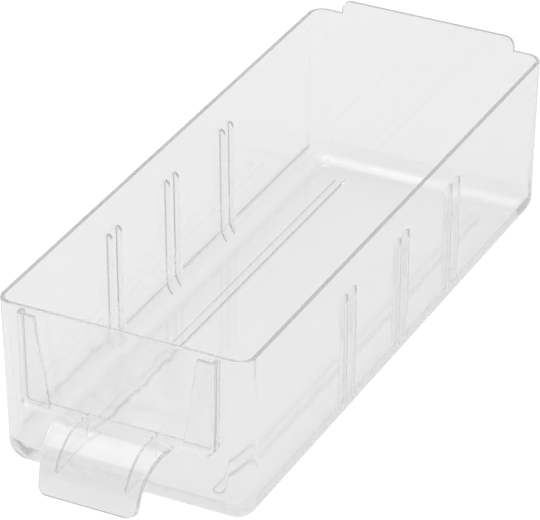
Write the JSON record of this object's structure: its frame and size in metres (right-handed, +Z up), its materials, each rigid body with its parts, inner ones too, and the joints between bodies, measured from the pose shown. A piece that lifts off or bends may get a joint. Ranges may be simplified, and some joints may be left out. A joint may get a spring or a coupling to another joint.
{
  "type": "small parts drawer",
  "caption": "Clear moulded plastic storage drawer with slots for upright dividers, a label holder, a curved finger pull and a rear stop tab.",
  "frame": {"origin": "centre of the overall box, on the surface that the runners under the floor stand on", "axes": "+Y to the rear of the drawer along its length, with the finger pull at -Y; +Z up; +X to the right seen from the front"},
  "size_m": [0.055, 0.1564, 0.0411],
  "materials": {
    "clear_plastic": "clear glossy injection-moulded polystyrene with faint flow waves and light handling scratches"
  },
  "bodies": {
    "root": {"tub": "clear_plastic", "divider_rib_left_1": "clear_plastic", "divider_rib_left_2": "clear_plastic", "divider_rib_left_3": "clear_plastic", "divider_rib_left_4": "clear_plastic", "divider_rib_left_5": "clear_plastic", "divider_rib_left_6": "clear_plastic", "divider_rib_right_1": "clear_plastic", "divider_rib_right_2": "clear_plastic", "divider_rib_right_3": "clear_plastic", "divider_rib_right_4": "clear_plastic", "divider_rib_right_5": "clear_plastic", "divider_rib_right_6": "clear_plastic", "floor_runner_left": "clear_plastic", "floor_runner_right": "clear_plastic", "label_guide_left": "clear_plastic", "label_guide_right": "clear_plastic", "label_shelf": "clear_plastic", "pull_handle": "clear_plastic", "handle_gusset_left": "clear_plastic", "handle_gusset_right": "clear_plastic", "rear_stop_tab": "clear_plastic"}
  },
  "joints": []
}
